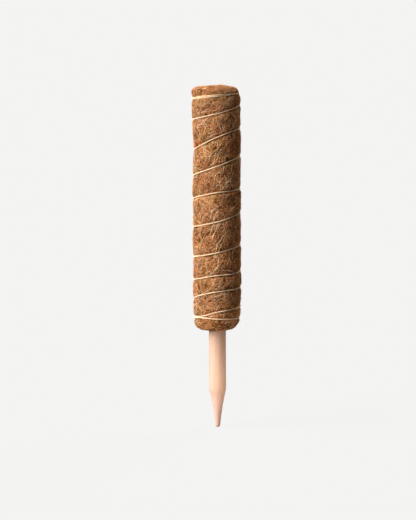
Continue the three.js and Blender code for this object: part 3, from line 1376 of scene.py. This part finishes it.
@dataclass
class WoodenStake:
    """The stake: a turned dowel with a blunt point, its upper end hidden in the core."""

    radius: float
    foot: float
    top: float
    point_length: float = 46 * MM
    shoulder: float = 3 * MM
    hollow: float = 0.7 * MM
    tip_radius: float = 2.5 * MM
    tip_round: float = 2.2 * MM
    corner_steps: int = 8
    cone_steps: int = 24
    shaft_steps: int = 30
    columns: int = 96
    # Painted light for the downward-facing point: a paler, pinker tone that eases in below the top of the
    # point.
    point_light_colour: Colour = (0.66, 0.41, 0.33)
    point_light_fade: float = 12 * MM
    point_light_most: float = 0.6

    def build(self) -> None:
        """Build the stake in the place of the CAD one."""
        piece = lathe("stake_turned", self.profile(), self.columns)
        shoulder = self.foot + self.point_length
        # Paler towards the tip, as painted light.
        painted_point_light = Tint(self.point_light_colour, (shoulder, shoulder - self.point_light_fade), self.point_light_most)
        dress(piece, BeechFinish(painted_point_light=painted_point_light).make())
        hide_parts("stake")

    def profile(self) -> np.ndarray:
        """Profile from the tip to the top, both on the axis.

        Returns:
            Rows of radius and height.
        """
        tip = np.array([self.tip_radius, self.foot])
        shoulder = np.array([self.radius, self.foot + self.point_length])
        slope = unit(shoulder - tip)
        cone_foot = tip + slope * self.tip_round
        cone_top = shoulder - slope * self.shoulder
        inward = np.array([-slope[1], slope[0]])
        waist = (cone_foot + cone_top) / 2 + inward * 2 * self.hollow
        shaft_foot = shoulder + (0.0, self.shoulder)
        return np.concatenate([
            [(0.0, self.foot)],
            rounded(tip - (self.tip_round, 0.0), tip, cone_foot, self.corner_steps),
            rounded(cone_foot, waist, cone_top, self.cone_steps),
            rounded(cone_top, shoulder, shaft_foot, self.corner_steps),
            np.linspace(shaft_foot, (self.radius, self.top), self.shaft_steps),
            [(0.0, self.top)],
        ])


@dataclass
class CoreTube:
    """The hollow core that shows in the open top."""

    bore: float
    radius: float
    foot: float
    top: float
    lead_in: float = 0.8 * MM
    columns: int = 96
    finish: BeechFinish = BeechFinish(
        "core_wood",
        tones=((0.3, (0.42, 0.25, 0.12)), (0.68, (0.6, 0.38, 0.2))),
        band=Tint((0.44, 0.27, 0.13), (0.52, 0.72), 0.45),
        fleck=Tint((0.32, 0.18, 0.09), (0.66, 0.74), 0.7),
        roughness=0.75,
    )

    def build(self) -> None:
        """Build the core in the place of the CAD one."""
        line = np.array([
            (self.bore, self.foot),
            (self.radius, self.foot),
            (self.radius, self.top),
            (self.bore + self.lead_in, self.top),
            (self.bore, self.top - self.lead_in),
        ])
        piece = lathe("core_turned", line, self.columns)
        dress(piece, self.finish.make())
        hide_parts("core_tube")


# Studio


@dataclass(frozen=True)
class Sun:
    """A far lamp: its azimuth off the camera's side, its height and its spread, in radians."""

    azimuth: float
    height: float
    power: float
    spread: float

    @property
    def place(self) -> Place:
        """Direction that the light comes from."""
        level = math.cos(self.height)
        return (math.sin(self.azimuth) * level, -math.cos(self.azimuth) * level, math.sin(self.height))

    @property
    def on_floor(self) -> float:
        """Light that a white floor would send back."""
        return self.power * math.sin(self.height) / math.pi


@dataclass(frozen=True)
class Spot:
    """A narrow lamp: where it hangs and looks, and its cone in radians."""

    place: Place
    target: Place
    power: float
    cone: float
    blend: float
    soft_size: float
    colour: Colour


def background_rays(tree: bpy.types.NodeTree) -> Socket:
    """Find the rays that see the pale background: those from the camera, reflections and glass.

    Args:
        tree: Node tree of a material or of the world.

    Returns:
        An output that is 1 for these rays and 0 for the others.
    """
    path = tree.nodes.new("ShaderNodeLightPath")
    seen = path.outputs["Is Camera Ray"]
    for kind in ("Is Glossy Ray", "Is Transmission Ray"):
        either = tree.nodes.new("ShaderNodeMath")
        either.operation = "MAXIMUM"
        tree.links.new(seen, either.inputs[0])
        tree.links.new(path.outputs[kind], either.inputs[1])
        seen = either.outputs["Value"]
    return seen


@dataclass(frozen=True)
class Studio:
    """Camera, lamps, floor and backdrop: a key at the upper left, a lamp behind, a fill for the stake."""

    floor_height: float
    floor_size: float = 60.0
    floor_albedo: float = 0.1
    floor_lit_share: float = 0.3
    backdrop: Colour = (0.905, 0.9, 0.895)
    ambient: Colour = (1.0, 0.76, 0.5)
    ambient_power: float = 0.05
    camera_place: Place = (-0.0106, -2.0, 0.228)
    camera_tilt: float = math.radians(4.2)
    camera_roll: float = math.radians(-0.28)
    lens: float = 118.7
    key: Sun = Sun(math.radians(-71.5), math.radians(36), 6.9, math.radians(52))
    back: Sun = Sun(math.radians(140), math.radians(40), 2.4, math.radians(30))
    stake_fill: Spot = Spot(
        place=(0.16, -1.05, -0.03),
        target=(0.0, 0.0, -0.064),
        power=46.0,
        cone=math.radians(7),
        blend=0.4,
        soft_size=0.05,
        colour=(1.0, 0.88, 0.76),
    )

    def build(self) -> None:
        """Set the camera, the lamps, the world and the floor."""
        self.camera()
        self.lamps()
        self.world()
        self.floor()
        bpy.context.scene.view_settings.view_transform = "Standard"

    def camera(self) -> None:
        """Place the camera at the photograph's viewing angle."""
        data = bpy.data.cameras.new("camera")
        data.lens = self.lens
        camera = bpy.data.objects.new("camera", data)
        camera.location = self.camera_place
        camera.rotation_mode = "ZYX"
        camera.rotation_euler = (math.pi / 2 - self.camera_tilt, 0.0, self.camera_roll)
        bpy.context.collection.objects.link(camera)
        bpy.context.scene.camera = camera

    def lamp(self, name: str, kind: LampKind, place: Place, target: Place, power: float) -> bpy.types.Light:
        """Hang a lamp that looks at a target.

        Args:
            name: Name of the lamp.
            kind: Kind of lamp.
            place: Where it hangs.
            target: Point that it looks at.
            power: Its strength, in the unit of its kind.

        Returns:
            The lamp's settings.
        """
        data = bpy.data.lights.new(name, kind.value)
        data.energy = power
        lamp = bpy.data.objects.new(name, data)
        lamp.location = place
        bpy.context.collection.objects.link(lamp)
        x, y, z = np.array(target) - np.array(place)
        lamp.rotation_euler = (math.acos(-z / math.hypot(x, y, z)), 0.0, math.atan2(x, -y) + math.pi)
        return data

    def lamps(self) -> None:
        """Hang the two suns and the narrow fill."""
        for name, sun in (("key", self.key), ("back", self.back)):
            data = self.lamp(name, LampKind.SUN, sun.place, (0.0, 0.0, 0.0), sun.power)
            data.angle = sun.spread
        spot = self.stake_fill
        data = self.lamp("stake_fill", LampKind.SPOT, spot.place, spot.target, spot.power)
        data.spot_size = spot.cone
        data.spot_blend = spot.blend
        data.shadow_soft_size = spot.soft_size
        data.color = spot.colour

    def world(self) -> None:
        """Light the scene softly from all round, with a pale background for the camera."""
        world = bpy.data.worlds.new("studio")
        bpy.context.scene.world = world
        world.use_nodes = True
        tree = world.node_tree
        ambient = tree.nodes["Background"]
        ambient.inputs["Color"].default_value = (*self.ambient, 1)
        ambient.inputs["Strength"].default_value = self.ambient_power
        shown = tree.nodes.new("ShaderNodeBackground")
        shown.inputs["Color"].default_value = (*self.backdrop, 1)
        mix = tree.nodes.new("ShaderNodeMixShader")
        tree.links.new(background_rays(tree), mix.inputs["Fac"])
        tree.links.new(ambient.outputs["Background"], mix.inputs[1])
        tree.links.new(shown.outputs["Background"], mix.inputs[2])
        tree.links.new(mix.outputs["Shader"], tree.nodes["World Output"].inputs["Surface"])

    def floor(self) -> None:
        """Lay a pale floor under the tip, which glows to the camera and keeps a faint shadow."""
        deselect_all()
        bpy.ops.mesh.primitive_plane_add(size=self.floor_size, location=(0, 0, 0))
        floor = bpy.context.object
        floor.name = "floor"
        places = vertices_of(floor)
        places[:, 2] = self.floor_height
        move_vertices(floor, places)
        sheet = NodeSheet("floor")
        albedo = self.floor_albedo
        sheet.shader.inputs["Base Color"].default_value = (albedo, albedo, albedo, 1)
        sheet.gloss(1.0, 0.0)
        sunlit = self.key.on_floor + self.back.on_floor
        lit = [albedo * (sunlit + self.ambient_power * tint) for tint in self.ambient]
        share = self.floor_lit_share
        glow = [(want - share * have) / (1 - share) for want, have in zip(self.backdrop, lit)]
        emission = sheet.add("Emission", color=(*glow, 1))
        seen = sheet.add("MapRange", to_max=1 - share)
        mix = sheet.add("MixShader")
        sheet.join(background_rays(sheet.tree), seen.inputs["Value"])
        sheet.join(seen.outputs["Result"], mix.inputs["Fac"])
        sheet.join(sheet.shader.outputs["BSDF"], mix.inputs[1])
        sheet.join(emission.outputs["Emission"], mix.inputs[2])
        sheet.join(mix.outputs["Shader"], sheet.tree.nodes["Material Output"].inputs["Surface"])
        floor.data.materials.append(sheet.material)


def main() -> None:
    """Build the studio and every piece of the pole."""
    logging.basicConfig(level=logging.INFO)
    sleeve_low, sleeve_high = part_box("coir_sleeve")
    core_low, core_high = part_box("core_tube")
    stake_low, stake_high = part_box("stake")
    form = SleeveForm(
        length=sleeve_high[2] - sleeve_low[2] - FIBRE_LAP,
        radius=(sleeve_high[0] - sleeve_low[0]) / 2 - FIBRE_LAP / 4,
        bore=core_high[0] + CLEARANCE,
        winding=Winding(),
        lumps=Lumps(),
    )
    Studio(floor_height=stake_low[2]).build()
    CoirSleeve(Skin(form)).build()
    TwineBinding(form).build()
    WoodenStake(radius=stake_high[0], foot=stake_low[2], top=stake_high[2]).build()
    CoreTube(
        bore=stake_high[0] + CLEARANCE,
        radius=core_high[0],
        foot=core_low[2],
        top=core_high[2] - CORE_RECESS,
    ).build()


if __name__ == "__main__":
    main()
